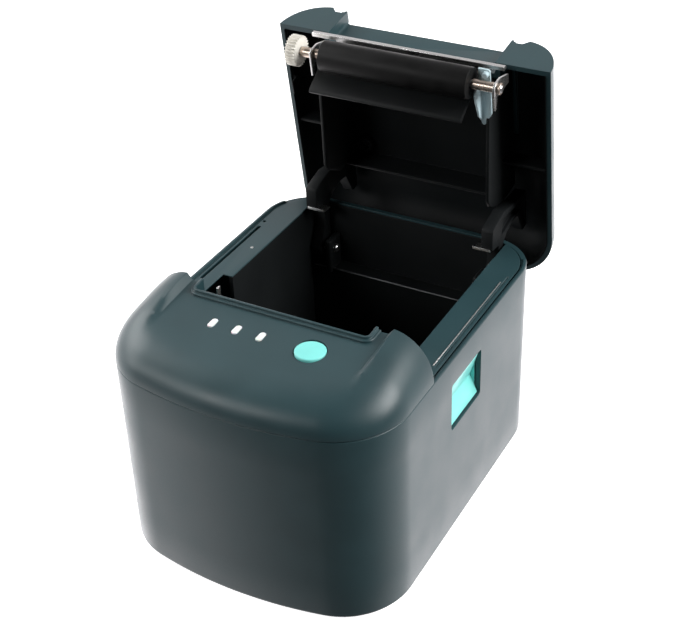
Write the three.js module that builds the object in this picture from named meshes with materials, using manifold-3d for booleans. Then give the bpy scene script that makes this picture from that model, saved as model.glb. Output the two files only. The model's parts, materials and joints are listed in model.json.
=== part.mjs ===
// Countertop receipt printer: a clamshell thermal printer standing open, ready for a paper roll.
// Millimetres, +Z up, +Y to the rear, origin on the counter under the middle of the housing.
// Heights inside the model are measured from the underside of the housing; the whole printer is
// then lifted by the part of the rubber feet that stands proud.
import * as THREE from 'three';
import { mergeVertices } from 'three/addons/utils/BufferGeometryUtils.js';
import Module from 'manifold-3d';

const wasm = await Module();
wasm.setup();

// ---- Driving dimensions -------------------------------------------------------------------
const HALF_W = 70; // half the width of the housing
const HALF_D = 91.5; // half its depth, measured on the centre line
const RIM_Z = 98.8; // height of the parting line between the housing and its covers
const BOW_R = 202.6; // radius of the bowed front wall
const FRONT_R = 34; // plan radius of the two front corners
const REAR_R = 25.4; // plan radius of the two rear corners
const WALL = 2.5; // wall of every moulded shell
const GAP = 0.3; // clearance between parts that touch
const DOME_IN = 20; // how far the rounded shoulder reaches inwards
const DOME_UP = 22.5; // how far it rises above the rim
const COVER_END = -31.2; // rear end of the front cover's shoulders
const LIP_Y = -38.5; // front edge of the paper outlet, between the shoulders
const LIP_HALF = 43; // half width of the paper outlet
const FOOT_DROP = 1; // how far the rubber feet stand proud

const HINGE_Y = 82.4; // lid hinge axis
const HINGE_Z = 74.9;
const OPEN_DEG = 81.1; // angle at which the lid rests open
const LID_FRONT = -30.6; // front faces of the lid's two ears
const LID_SET_BACK = -24.5; // front face of the lid between the ears
const LID_GAP = 0.9; // swing clearance under the lid's rim
const LID_TOP = RIM_Z + DOME_UP;

const PLATEN_Y = -28.8; // platen roller axis, lid closed
const PLATEN_Z = 83;
const ROLLER_R = 7.4;
const ROLLER_X = [-36.8, 38.8];
const SHAFT_R = 1.9;
const BUSH_R = 2.7;

const MODULE = 0.5; // gear module
const PLATEN_TEETH = 28;
const IDLER_TEETH = 46;
const PINION_TEETH = 23;
const MESH_EASE = 0.3; // backlash, added to the centre distance
const IDLER_Y = -41.6;
const IDLER_Z = 67.6;
const GEAR_X = [-54, -50];

const BUTTON = { x: 24, y: -53.8, r: 6.9 };
const LED_X = [-24, -12, 0];
const LED = { r: 1.8, half: 1.2 }; // oval lenses, longer from front to back
const LATCH_Y = -34; // latch shaft axis
const LATCH_Z = 46;
const HEAD_PIVOT = { y: -39.7, z: 71 };
const SIDES = [['left', -1], ['right', 1]];

// ---- Materials ----------------------------------------------------------------------------
const finish = (color, roughness, metalness = 0) => () =>
  new THREE.MeshStandardMaterial({ color, roughness, metalness });
const caseTeal = finish(0x2c3a3d, 0.5);
const innerBlack = finish(0x14181a, 0.6);
const mint = finish(0x5fe0cf, 0.4);
const steel = finish(0xb9bcbd, 0.35, 0.9);
const darkSteel = finish(0x5c6164, 0.45, 0.8);
const bronze = finish(0xb09a86, 0.35, 0.9);
const rubber = finish(0x0e0e0e, 0.85);
const whitePlastic = finish(0xe6e2d8, 0.45);
const paleBlue = finish(0xc3d3d8, 0.4);
const ledWhite = finish(0xf2f4f2, 0.3);
const boardGreen = finish(0x1d5a3a, 0.6);
const ceramic = finish(0xd8cfc0, 0.4);

// ---- Solids -------------------------------------------------------------------------------
function solid(geometry) {
  let bare = geometry.index ? geometry.toNonIndexed() : geometry;
  bare.deleteAttribute('normal');
  bare.deleteAttribute('uv');
  bare = mergeVertices(bare, 1e-4);
  const source = bare.index.array;
  const kept = [];
  for (let i = 0; i < source.length; i += 3) {
    const [a, b, c] = [source[i], source[i + 1], source[i + 2]];
    if (a !== b && b !== c && c !== a) kept.push(a, b, c);
  }
  return new wasm.Manifold(new wasm.Mesh({
    numProp: 3,
    vertProperties: new Float32Array(bare.attributes.position.array),
    triVerts: new Uint32Array(kept),
  }));
}

const join = (...solids) => solids.reduce((whole, next) => whole.add(next));
const cut = (whole, ...tools) => tools.reduce((left, tool) => left.subtract(tool), whole);

function box(x, y, z) {
  const geometry = new THREE.BoxGeometry(x[1] - x[0], y[1] - y[0], z[1] - z[0]);
  return solid(geometry.translate((x[0] + x[1]) / 2, (y[0] + y[1]) / 2, (z[0] + z[1]) / 2));
}

// A rod along one axis; `at` gives its other two coordinates in x, y, z order.
function rod(axis, r, span, at, sides = 20) {
  const geometry = new THREE.CylinderGeometry(r, r, span[1] - span[0], sides);
  const middle = (span[0] + span[1]) / 2;
  if (axis === 'x') return solid(geometry.rotateZ(-Math.PI / 2).translate(middle, at[0], at[1]));
  if (axis === 'y') return solid(geometry.translate(at[0], middle, at[1]));
  return solid(geometry.rotateX(Math.PI / 2).translate(at[0], at[1], middle));
}

function extrude(points, depth) {
  const shape = new THREE.Shape(points.map(([u, v]) => new THREE.Vector2(u, v)));
  return new THREE.ExtrudeGeometry(shape, { depth, bevelEnabled: false, steps: 1 });
}

// An outline in (x, y), extruded along Z.
const prismZ = (points, z) => solid(extrude(points, z[1] - z[0]).translate(0, 0, z[0]));

// An outline in (y, z), extruded along X.
function prismX(points, x) {
  const turn = new THREE.Matrix4().makeBasis(
    new THREE.Vector3(0, 1, 0), new THREE.Vector3(0, 0, 1), new THREE.Vector3(1, 0, 0));
  return solid(extrude(points, x[1] - x[0]).applyMatrix4(turn).translate(x[0], 0, 0));
}

// An outline in (x, z), extruded along Y.
function prismY(points, y) {
  const turn = new THREE.Matrix4().makeBasis(
    new THREE.Vector3(1, 0, 0), new THREE.Vector3(0, 0, 1), new THREE.Vector3(0, -1, 0));
  return solid(extrude(points, y[1] - y[0]).applyMatrix4(turn).translate(0, y[1], 0));
}

// Points of an arc in a plane, angles in degrees.
function arc(u, v, r, from, to, steps) {
  return Array.from({ length: steps + 1 }, (_, i) => {
    const angle = THREE.MathUtils.degToRad(from + ((to - from) * i) / steps);
    return [u + r * Math.cos(angle), v + r * Math.sin(angle)];
  });
}

const mirrored = (side, a, b) => (side < 0 ? [-b, -a] : [a, b]);

// ---- Plan outline and domed shells --------------------------------------------------------
// The front half of the plan, from its right flank at `endY` round the bow to the left flank.
function frontPlan(inset, endY) {
  const bowY = -HALF_D + BOW_R;
  const cornerX = HALF_W - FRONT_R;
  const cornerY = bowY - Math.sqrt((BOW_R - FRONT_R) ** 2 - cornerX ** 2);
  const meet = THREE.MathUtils.radToDeg(Math.atan2(cornerY - bowY, cornerX));
  const right = [
    [HALF_W - inset, endY],
    ...arc(cornerX, cornerY, FRONT_R - inset, 0, meet, 8),
    ...arc(0, bowY, BOW_R - inset, meet, -90, 4).slice(1, -1),
  ];
  const left = right.map(([x, y]) => [-x, y]).reverse();
  return [...right, [0, -HALF_D + inset], ...left];
}

// The rear half of the plan, from the right flank at `endY` round the back to the left flank.
function rearPlan(inset, endY) {
  const right = [
    [HALF_W - inset, endY],
    ...arc(HALF_W - REAR_R, HALF_D - REAR_R, REAR_R - inset, 0, 90, 8),
  ];
  return [...right, ...right.map(([x, y]) => [-x, y]).reverse()];
}

const wholePlan = (inset) => [
  ...frontPlan(inset, 0).slice(1, -1).reverse(),
  ...rearPlan(inset, 0).slice(1, -1),
];

// A domed solid over half a plan: rings step inwards and rise along a quarter ellipse,
// and the crown between them is closed by strips that run from flank to flank.
function dome(plan, endY, inset, crown, skirt) {
  const steps = [0, 0.02, 0.09, 0.2, 0.36, 0.58, 0.78, 1];
  const rings = steps.map((step) => {
    const reach = step * (DOME_IN - inset);
    const rise = Math.sqrt(1 - (1 - step) ** 2);
    return plan(inset + reach, endY).map(([x, y]) => [x, y, RIM_Z + rise * (crown(y) - inset)]);
  });
  if (skirt > 0) rings.unshift(plan(inset, endY).map(([x, y]) => [x, y, RIM_Z - skirt]));
  const flat = [];
  const quad = (a, b, c, d) => flat.push(...a, ...b, ...c, ...a, ...c, ...d);
  const count = rings[0].length;
  for (let j = 0; j + 1 < rings.length; j += 1) {
    for (let i = 0; i + 1 < count; i += 1) {
      quad(rings[j][i], rings[j][i + 1], rings[j + 1][i + 1], rings[j + 1][i]);
    }
    quad(rings[j][count - 1], rings[j][0], rings[j + 1][0], rings[j + 1][count - 1]);
  }
  const top = rings[rings.length - 1];
  for (let i = 0; 2 * i + 2 < count; i += 1) {
    const k = count - 1 - i;
    quad(top[i], top[i + 1], top[k - 1], top[k]);
    quad(rings[0][i], rings[0][k], rings[0][k - 1], rings[0][i + 1]);
  }
  const geometry = new THREE.BufferGeometry();
  geometry.setAttribute('position', new THREE.Float32BufferAttribute(flat, 3));
  const made = solid(geometry);
  if (made.volume() > 0) return made;
  for (let i = 0; i < flat.length; i += 9) {
    for (let k = 0; k < 3; k += 1) [flat[i + k], flat[i + 3 + k]] = [flat[i + 3 + k], flat[i + k]];
  }
  geometry.setAttribute('position', new THREE.Float32BufferAttribute(flat, 3));
  return solid(geometry);
}

// The front cover's crown falls gently from the shoulders to the front.
const coverCrown = (y) => DOME_UP - 8 * THREE.MathUtils.smoothstep(-y, 30, 82);
const lidCrown = () => DOME_UP;

// ---- Parts list ---------------------------------------------------------------------------
const printer = new THREE.Group();
const base = new THREE.Group();
base.position.z = FOOT_DROP;
printer.add(base);

// The lid's parts are placed as if closed; the two groups turn them open about the hinge.
const lidTurn = new THREE.Group();
lidTurn.position.set(0, HINGE_Y, HINGE_Z);
lidTurn.rotation.x = -THREE.MathUtils.degToRad(OPEN_DEG);
const lid = new THREE.Group();
lid.position.set(0, -HINGE_Y, -HINGE_Z);
lidTurn.add(lid);
base.add(lidTurn);

function place(group, name, shape, material) {
  const { vertProperties, triVerts } = shape.getMesh();
  const geometry = new THREE.BufferGeometry();
  geometry.setAttribute('position', new THREE.BufferAttribute(new Float32Array(vertProperties), 3));
  geometry.setIndex(new THREE.BufferAttribute(new Uint32Array(triVerts), 1));
  geometry.computeVertexNormals();
  const mesh = new THREE.Mesh(geometry, material());
  mesh.name = name;
  group.add(mesh);
}

// ---- Gears --------------------------------------------------------------------------------
// Straight-sided teeth; `phase` is the angle of tooth 0, measured from +Y towards +Z.
function gear(teeth, x, y, z, bore, phase = 0) {
  const root = MODULE * (teeth / 2 - 1.2);
  const tip = MODULE * (teeth / 2 + 0.85);
  const points = [];
  for (let i = 0; i < teeth; i += 1) {
    const angle = phase + (i * 2 * Math.PI) / teeth;
    for (const [r, half] of [[root, -0.94], [tip, -0.35], [tip, 0.35], [root, 0.94]]) {
      const turn = angle + (half * MODULE) / r;
      points.push([y + r * Math.cos(turn), z + r * Math.sin(turn)]);
    }
  }
  const wheel = prismX(points, x);
  return bore > 0 ? cut(wheel, rod('x', bore, [x[0] - 1, x[1] + 1], [y, z], 16)) : wheel;
}

function coil(axis, turns, r, wire, from, to, at) {
  class Helix extends THREE.Curve {
    getPoint(t, target = new THREE.Vector3()) {
      const angle = t * turns * 2 * Math.PI;
      const along = from + (to - from) * t;
      const [u, v] = [at[0] + r * Math.cos(angle), at[1] + r * Math.sin(angle)];
      return axis === 'x' ? target.set(along, u, v) : target.set(u, along, v);
    }
  }
  const outline = arc(0, 0, wire, 0, 300, 5);
  const section = new THREE.Shape(outline.map(([u, v]) => new THREE.Vector2(u, v)));
  const options = { steps: turns * 10, bevelEnabled: false, extrudePath: new Helix() };
  return solid(new THREE.ExtrudeGeometry(section, options));
}

// ---- Housing and covers -------------------------------------------------------------------
const WINDOW = { y: [-12.8, 18.7], z: [60, 85] };
const PORTS = [
  ['power_socket', [26, 42], [9, 21]],
  ['usb_socket', [9, 21], [9, 20]],
  ['network_socket', [-11, 5], [9, 22]],
  ['drawer_socket', [-27, -14], [9, 21]],
];
const SWITCH = { x: [-44, -31], z: [8, 26] };
const FEET = [[-52, -52], [52, -52], [-52, 66], [52, 66]];
const BASE_SCREWS = [[-38, -66], [38, -66], [-38, 76], [38, 76]];
const RECESS_X = [-49, 49]; // the front cover's shallow recess

function lowerHousing() {
  const shell = cut(prismZ(wholePlan(0), [0, RIM_Z]), prismZ(wholePlan(WALL), [-1, RIM_Z + 1]));
  const rearRelief = box([-80, 80], [78, 95], [RIM_Z - 1, RIM_Z + 1]);
  const fingerWindow = box([60, 75], WINDOW.y, WINDOW.z);
  const rearHoles = [...PORTS.map(([, x, z]) => [x, z]), [SWITCH.x, SWITCH.z]].map(([x, z]) =>
    box([x[0] - 0.4, x[1] + 0.4], [85, 95], [z[0] - 0.4, z[1] + 0.4]));
  return cut(shell, rearRelief, fingerWindow, ...rearHoles);
}

function basePlate() {
  const plate = prismZ(wholePlan(WALL + GAP), [0, 2.6]);
  const feet = FEET.map((at) => rod('z', 7.3, [-1, 1.5], at, 24));
  const screws = BASE_SCREWS.map((at) => rod('z', 3.6, [-1, 1.6], at, 16));
  return cut(plate, ...feet, ...screws);
}

// An oval column, longer from front to back.
function lens(x, r, z) {
  const front = arc(x, BUTTON.y - LED.half, r, 180, 360, 8);
  const rear = arc(x, BUTTON.y + LED.half, r, 0, 180, 8);
  return prismZ([...front, ...rear], z);
}

function frontCover() {
  const outer = dome(frontPlan, COVER_END, 0, coverCrown, 0);
  const inner = dome(frontPlan, COVER_END + 5, WALL, coverCrown, 3);
  const floorZ = (y) => 118 + 0.087 * (y - COVER_END);
  const [frontZ, rearZ] = [floorZ(-80), floorZ(0)];
  const recess = prismX([[-80, frontZ], [0, rearZ], [0, 140], [-80, 140]], RECESS_X);
  const under = prismX([[-80, frontZ - WALL], [0, rearZ - WALL], [0, 80], [-80, 80]], RECESS_X);
  const floorSlab = cut(join(recess, box(RECESS_X, [-90, 0], [112, 140])), under);
  const roof = cut(outer, cut(inner, floorSlab), recess);
  const outlet = box([-LIP_HALF, LIP_HALF], [LIP_Y, 0], [80, 140]);
  const lipX = [-LIP_HALF - 2, LIP_HALF + 2];
  const lipWall = box(lipX, [LIP_Y - WALL, LIP_Y], [90, floorZ(LIP_Y) - 1]);
  const cheeks = SIDES.map(([, side]) =>
    box(mirrored(side, LIP_HALF, LIP_HALF + WALL), [LIP_Y - WALL, COVER_END], [90, 117]));
  const lining = dome(frontPlan, COVER_END, 0.6, coverCrown, 0);
  const endWalls = SIDES.map(([, side]) =>
    lining.intersect(box(mirrored(side, LIP_HALF, HALF_W), [COVER_END - WALL, 0], [90, 140])));
  const gearPassage = box([-56.5, -47.6], [COVER_END - 4, 0], [90, 116]);
  const holes = [
    rod('z', BUTTON.r + GAP, [105, 130], [BUTTON.x, BUTTON.y], 28),
    ...LED_X.map((x) => lens(x, LED.r + 0.3, [105, 130])),
  ];
  const slab = box([-80, 80], [-100, 0], [60, RIM_Z + GAP]);
  return cut(join(cut(roof, outlet), lipWall, ...cheeks, ...endWalls), gearPassage, ...holes, slab);
}

function feedButton() {
  const cap = rod('z', BUTTON.r, [109.5, 116.7], [BUTTON.x, BUTTON.y], 28);
  const flange = rod('z', BUTTON.r + 1.4, [108.3, 109.5], [BUTTON.x, BUTTON.y], 28);
  return join(cap, flange);
}

// ---- Paper well ---------------------------------------------------------------------------
const WELL_HALF = 52.2;
const WELL_WALL = 2;
const LEDGE_TOP = 98.2;
const LEDGE_OUT = 67;
const LUG_X = [39.6, 43.4];
const ARM_X = [45.1, 51.4];

function paperWell() {
  const out = WELL_HALF + WELL_WALL;
  const walls = SIDES.flatMap(([, side]) => [
    box(mirrored(side, WELL_HALF, out), [-14, 88.3], [8, LEDGE_TOP]),
    box(mirrored(side, WELL_HALF, out), [COVER_END + 1, -14], [86, LEDGE_TOP]),
    box(mirrored(side, WELL_HALF, LEDGE_OUT), [COVER_END + 1, 88.3], [96, LEDGE_TOP]),
    box(mirrored(side, ...LUG_X), [77, 88.3], [62, 81]),
  ]);
  const floor = box([-out, out], [-14, 81], [8, 10]);
  const front = box([-out, out], [-14, -12], [8, 70]);
  const rear = box([-out, out], [79, 81], [8, 64]);
  const shelf = box([-out, out], [79, 88.3], [62, 64]);
  const tub = join(floor, front, rear, shelf, ...walls);
  const gearNotch = box([-57.4, -51], [-40, 4.6], [80, 100]);
  const bushNotch = box([51, 54.6], [-40, -18], [80, 100]);
  const slots = [
    box([-65.4, -64.2], [-3, 51], [90, 100]),
    box([63.2, 64.4], [-19, 54.4], [90, 100]),
    rod('z', 0.9, [90, 100], [-65, 56], 12),
  ];
  const pinHole = rod('x', 2.5, [-60, 60], [HINGE_Y, HINGE_Z], 16);
  const rim = prismZ(wholePlan(WALL + GAP), [0, 120]);
  const rearRelief = box([-80, 80], [77, 95], [RIM_Z - 1.6, RIM_Z + 1]);
  return cut(tub, gearNotch, bushNotch, pinHole, rearRelief, ...slots).intersect(rim);
}

// ---- Print mechanism ----------------------------------------------------------------------
const FRAME_X = [44.6, 46];
const PINION_REACH = (MODULE * (IDLER_TEETH + PINION_TEETH)) / 2 + MESH_EASE;
const PINION_ANGLE = THREE.MathUtils.degToRad(216.9); // from the idler, +Y towards +Z
const PINION_Y = IDLER_Y + PINION_REACH * Math.cos(PINION_ANGLE);
const PINION_Z = IDLER_Z + PINION_REACH * Math.sin(PINION_ANGLE);

function mechFrame() {
  const cheek = [[-69, 30], [-20, 30], [-20, 68], [-36, 72], [-39.5, 76], [-39.5, 94], [-69, 94]];
  const cheeks = SIDES.map(([, side]) => prismX(cheek, mirrored(side, ...FRAME_X)));
  const floor = box([-FRAME_X[0], FRAME_X[0]], [-69, -20], [30, 31.5]);
  const web = box([-FRAME_X[0], FRAME_X[0]], [-48.2, -47], [75.5, 89]);
  const idlerAxle = rod('x', 1.9, [-57, -FRAME_X[1] + 0.5], [IDLER_Y, IDLER_Z], 16);
  const motorHole = rod('x', 3, [-48, -43], [PINION_Y, PINION_Z], 16);
  const latchHole = rod('x', 2.9, [-48, 48], [LATCH_Y, LATCH_Z], 16);
  return cut(join(floor, web, idlerAxle, ...cheeks), motorHole, latchHole);
}

function feedMotor() {
  const can = rod('x', 15, [-44, -24], [PINION_Y, PINION_Z], 32);
  const boss = rod('x', 2.7, [-44.9, -44], [PINION_Y, PINION_Z], 16);
  return cut(join(can, boss), rod('x', 1.8, [-46, -40], [PINION_Y, PINION_Z], 12));
}

function motorPinion() {
  const back = PINION_ANGLE - Math.PI + Math.PI / PINION_TEETH;
  const wheel = gear(PINION_TEETH, GEAR_X, PINION_Y, PINION_Z, 0, back);
  return join(wheel, rod('x', 1.5, [-51, -41], [PINION_Y, PINION_Z], 12));
}

const headPlate = () => box([-43.5, 43.5], [-41.2, -38.3], [70, 90]);
const printHead = () => box([-40, 40], [-38, -36.9], [77.5, 89.5]);

function cutterFrame() {
  const lower = box([-44, 44], [-62, -42.5], [90.3, 91.5]);
  const upper = box([-44, 44], [-62, -42.5], [94.2, 95.4]);
  const stops = SIDES.map(([, side]) => box(mirrored(side, 40.6, 44), [-62, -42.5], [91, 95]));
  return join(lower, upper, ...stops);
}

function cutterBlade() {
  const pitch = 2;
  const edge = Array.from({ length: 40 }, (_, i) => [
    [-40 + pitch * i, -41.2],
    [-39 + pitch * i, -40.2],
  ]).flat();
  return prismZ([[-40, -60], [40, -60], [40, -41.2], ...edge.reverse()], [92, 93.6]);
}

function latchHook(side) {
  const outline = [
    [LATCH_Y - 4.5, LATCH_Z - 4], [LATCH_Y + 4.5, LATCH_Z - 4], [LATCH_Y + 4.5, LATCH_Z + 5],
    [-31.5, 60], [-31.5, 70], [-36.4, 77], [-36.4, 87.5], [-34.8, 88.2], [-34.8, 90], [-37, 93],
    [-40.5, 93], [-40.8, 76], [-35.9, 70], [-35.9, 60], [LATCH_Y - 4.5, LATCH_Z + 5],
  ];
  const bore = rod('x', 2.8, [-50, 50], [LATCH_Y, LATCH_Z], 16);
  return cut(prismX(outline, mirrored(side, 46.5, 48.3)), bore);
}

function latchShaft() {
  const shaft = rod('x', 2.5, [-49.2, 57.4], [LATCH_Y, LATCH_Z], 16);
  const crank = [[-37, 43], [-31, 43], [-14.9, 62], [-17.5, 65], [-37, 50]];
  return join(shaft, prismX(crank, [54.9, 57.4]));
}

// A pad behind the window, with a step that fills the opening and a V-shaped finger scoop.
function releaseButton() {
  const insideY = [WINDOW.y[0] + 0.5, WINDOW.y[1] - 0.5];
  const insideZ = [WINDOW.z[0] + 0.5, WINDOW.z[1] - 0.5];
  const pad = box([61, 67], [-15, 21], [57.8, 87.2]);
  const step = box([66, 68.7], insideY, insideZ);
  const scoop = prismY([[69, 60.9], [62.9, 76], [69, 84.2], [75, 72]], insideY);
  return cut(join(pad, step), scoop);
}

// ---- Lid ----------------------------------------------------------------------------------
function lidShell() {
  const outer = dome(rearPlan, LID_FRONT, 0, lidCrown, 0);
  const inner = dome(rearPlan, LID_FRONT + WALL, WALL, lidCrown, 3);
  const middle = [-LIP_HALF - WALL, LIP_HALF + WALL];
  const frontWall = box(middle, [LID_FRONT - 1, LID_SET_BACK + WALL], [90, 130]);
  const roof = prismX([[-40, 115.3], [40, 119.5], [40, 130], [-40, 130]], middle);
  const hollow = cut(inner, frontWall, roof);
  const notch = box([-LIP_HALF, LIP_HALF], [LID_FRONT - 1, LID_SET_BACK], [90, 130]);
  const step = [[-40, 117.6], [24, 121.4], [24, 130], [-40, 130]];
  const channel = prismX(step, [-LIP_HALF, LIP_HALF]);
  const slab = box([-80, 80], [-100, 100], [60, RIM_Z + LID_GAP]);
  return cut(outer, hollow, notch, channel, slab);
}

function lidFrame() {
  const ribs = SIDES.flatMap(([, side]) => [
    box(mirrored(side, 43.2, 44.9), [-21.4, 48], [89, 115]),
    box(mirrored(side, 44.5, 64.4), [24.3, 25.8], [100.6, 108.8]),
  ]);
  const panel = box([-43.5, 43.5], [-21.4, 48], [113.4, 115]);
  const rearRib = box([-43.5, 43.5], [46.5, 48], [101, 114]);
  const frontRib = box([-43.5, 43.5], [-21.4, -20], [97.4, 114]);
  return join(panel, rearRib, frontRib, ...ribs);
}

// A goose neck that carries the lid over the housing's rear wall. Its outline is drawn about the
// hinge axis in the (y, z) plane with the lid open, then turned to where it is when closed.
function hingeArm(side) {
  const open = THREE.MathUtils.degToRad(OPEN_DEG);
  const outline = [
    ...arc(0, 0, 5.5, 170, 370, 9),
    [5, 12],
    [5, 22.6],
    [9.5, 27],
    [17.7, 29.3],
    [23.3, 29],
    [30.7, 17],
    [36.1, 17.8],
    [32.9, 38.3],
    [20.6, 38.6],
    [5, 40.5],
    [-6, 37.5],
    [-8.4, 35.6],
    [-8.4, 25.6],
    [-0.5, 24.6],
    [-0.5, 11],
  ].map(([y, z]) => [
    HINGE_Y + y * Math.cos(open) - z * Math.sin(open),
    HINGE_Z + y * Math.sin(open) + z * Math.cos(open),
  ]);
  const bore = rod('x', 2.6, [-60, 60], [HINGE_Y, HINGE_Z], 16);
  return cut(prismX(outline, mirrored(side, ...ARM_X)), bore);
}

// A side plate with an eye for the platen bush and a foot that reaches down behind the roller.
function platenPlate(side, x) {
  const outline = [
    [-19.4, 78.6],
    [-19.4, 80.4],
    [-24.4, 82],
    [-24.4, 94.8],
    [-30.6, 94.8],
    [-33.6, 86],
    [-33.6, 80],
    [-31.4, 78.6],
  ];
  const hole = rod('x', BUSH_R + GAP, [-60, 60], [PLATEN_Y, PLATEN_Z], 24);
  return cut(prismX(outline, mirrored(side, ...x)), hole);
}

function bush(x) {
  const ring = rod('x', BUSH_R, x, [PLATEN_Y, PLATEN_Z], 24);
  return cut(ring, rod('x', SHAFT_R + GAP, [-60, 60], [PLATEN_Y, PLATEN_Z], 16));
}

// A blade that hangs behind the shaft, with a flange down its left edge and a round thumb knob.
function platenLever() {
  const blade = prismZ([
    [43.6, -34.5],
    [49.6, -34.5],
    [49.6, -13.5],
    [45.4, -6],
    [43.9, -6],
    [43.6, -13],
  ], [87.2, 88.4]);
  const flange = prismX([[-26, 81.8], [-24, 80.6], [-10, 84.6], [-7, 88.4], [-26, 88.4]], [42.6, 43.8]);
  const knob = rod('z', 1.7, [84.6, 87.4], [46.8, -32.6], 20);
  return join(blade, flange, knob);
}

function paperGuide() {
  const outline = [
    [-20.6, 94.8],
    [-20.6, 88],
    [-14.4, 75.4],
    [-12.9, 74.3],
    [-12, 75.4],
    [-18.9, 88.6],
    [-18.9, 94.8],
  ];
  return prismX(outline, [-42.3, 36.5]);
}

function tearBar() {
  const profile = [[-31.8, 95.2], [-22, 95.2], [-22, 98], [-30.8, 98], [-31.8, 97.2]];
  return prismX(profile, [-49.5, 49.5]);
}

// ---- Assembly: housing --------------------------------------------------------------------
place(base, 'lower_housing', lowerHousing(), caseTeal);
place(base, 'base_plate', basePlate(), innerBlack);
for (const [i, at] of FEET.entries()) {
  place(base, `rubber_foot_${i + 1}`, rod('z', 7, [-FOOT_DROP, 1.2], at, 24), rubber);
}
for (const [i, at] of BASE_SCREWS.entries()) {
  place(base, `base_screw_${i + 1}`, rod('z', 3, [0.2, 1.3], at, 16), darkSteel);
}
place(base, 'front_cover', frontCover(), caseTeal);
place(base, 'feed_button', feedButton(), mint);
for (const [i, x] of LED_X.entries()) {
  place(base, `led_lens_${i + 1}`, lens(x, LED.r, [109, 116.3]), ledWhite);
}
place(base, 'panel_board', box([-36, 36], [-62, -45], [104.5, 106.1]), boardGreen);
place(base, 'main_board', box([-50, 50], [-8, 76], [4.4, 6]), boardGreen);
place(base, 'paper_well', paperWell(), innerBlack);
place(base, 'near_end_sensor', box([-52, -49.6], [30, 38], [20, 30]), innerBlack);
place(base, 'paper_sensor', box([12, 22], [-11.7, -7.5], [58, 66]), darkSteel);
for (const [name, x, z] of PORTS) {
  const body = box(x, [81.4, 90.9], z);
  const mouth = box([x[0] + 1.4, x[1] - 1.4], [84.4, 95], [z[0] + 1.4, z[1] - 1.4]);
  place(base, name, cut(body, mouth), innerBlack);
}
const switchBody = box(SWITCH.x, [81.4, 90.9], SWITCH.z);
const mouthX = [SWITCH.x[0] + 1.4, SWITCH.x[1] - 1.4];
const switchMouth = box(mouthX, [83.4, 95], [SWITCH.z[0] + 1.4, SWITCH.z[1] - 1.4]);
place(base, 'switch_frame', cut(switchBody, switchMouth), innerBlack);
const rockerSide = [[-1.8, -6.6], [2.4, -6.6], [3.1, 0], [4.2, 6.6], [0, 6.6], [-2.6, 0]]
  .map(([y, z]) => [86.5 + y, (SWITCH.z[0] + SWITCH.z[1]) / 2 + z]);
const rocker = prismX(rockerSide, [SWITCH.x[0] + 1.8, SWITCH.x[1] - 1.8]);
place(base, 'power_switch', rocker, innerBlack);

// ---- Assembly: print mechanism ------------------------------------------------------------
place(base, 'mech_frame', mechFrame(), steel);
place(base, 'head_plate', headPlate(), steel);
place(base, 'print_head', printHead(), ceramic);
for (const [name, side] of SIDES) {
  const pin = rod('x', 2.2, mirrored(side, 38.2, 56), [HINGE_Y, HINGE_Z], 16);
  place(base, `head_spring_${name}`, coil('y', 4, 2.6, 0.4, -46, -42.6, [25 * side, 83]), steel);
  place(base, `latch_hook_${name}`, latchHook(side), darkSteel);
  place(base, `hinge_pin_${name}`, pin, steel);
}
place(base, 'feed_motor', feedMotor(), darkSteel);
place(base, 'motor_pinion', motorPinion(), whitePlastic);
const idler = gear(IDLER_TEETH, GEAR_X, IDLER_Y, IDLER_Z, 2.3, PINION_ANGLE);
place(base, 'idler_gear', idler, whitePlastic);
place(base, 'cutter_frame', cutterFrame(), darkSteel);
place(base, 'cutter_blade', cutterBlade(), steel);
place(base, 'cutter_motor', rod('x', 7, [14, 38], [-57, 80], 24), darkSteel);
place(base, 'latch_shaft', latchShaft(), steel);
place(base, 'latch_spring', coil('x', 4, 3.6, 0.45, 49.7, 54, [LATCH_Y, LATCH_Z]), steel);
place(base, 'release_button', releaseButton(), mint);

// ---- Assembly: lid ------------------------------------------------------------------------
place(lid, 'lid_shell', lidShell(), caseTeal);
place(lid, 'lid_frame', lidFrame(), innerBlack);
place(lid, 'tear_bar', tearBar(), steel);
place(lid, 'platen_plate_left', platenPlate(-1, [41.2, 42.2]), steel);
place(lid, 'platen_plate_right', platenPlate(1, [50.8, 51.8]), steel);
place(lid, 'bush_left', bush([-48.6, -37.4]), bronze);
place(lid, 'bush_right', bush([39.4, 53.4]), bronze);
place(lid, 'platen_lever', platenLever(), paleBlue);
place(lid, 'paper_guide', paperGuide(), innerBlack);
place(lid, 'platen_shaft', rod('x', SHAFT_R, [-54.4, 53.8], [PLATEN_Y, PLATEN_Z], 16), steel);
const rubberSleeve = rod('x', ROLLER_R, ROLLER_X, [PLATEN_Y, PLATEN_Z], 32);
const sleeveBore = rod('x', SHAFT_R + GAP, [-50, 50], [PLATEN_Y, PLATEN_Z], 16);
place(lid, 'platen_roller', cut(rubberSleeve, sleeveBore), rubber);
const platenGear = gear(PLATEN_TEETH, [-53.4, -49.6], PLATEN_Y, PLATEN_Z, SHAFT_R + GAP);
place(lid, 'platen_gear', platenGear, whitePlastic);
for (const [name, side] of SIDES) {
  place(lid, `hinge_arm_${name}`, hingeArm(side), innerBlack);
  place(lid, `lid_screw_${name}`, rod('z', 2.5, [111.9, 113.1], [36 * side, 40], 16), darkSteel);
}

export default printer;
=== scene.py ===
"""Looks for the receipt printer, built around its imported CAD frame.

Lengths in this script are millimetres in the CAD's own layout: heights are measured from the
underside of the housing, and lid parts are laid out as if the lid were closed. `to_world` lifts
them onto the feet and `lid_to_world` also turns them open about the lid's hinge.
"""
import json
import math

import bmesh
import bpy
from mathutils import Matrix, Vector


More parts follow.
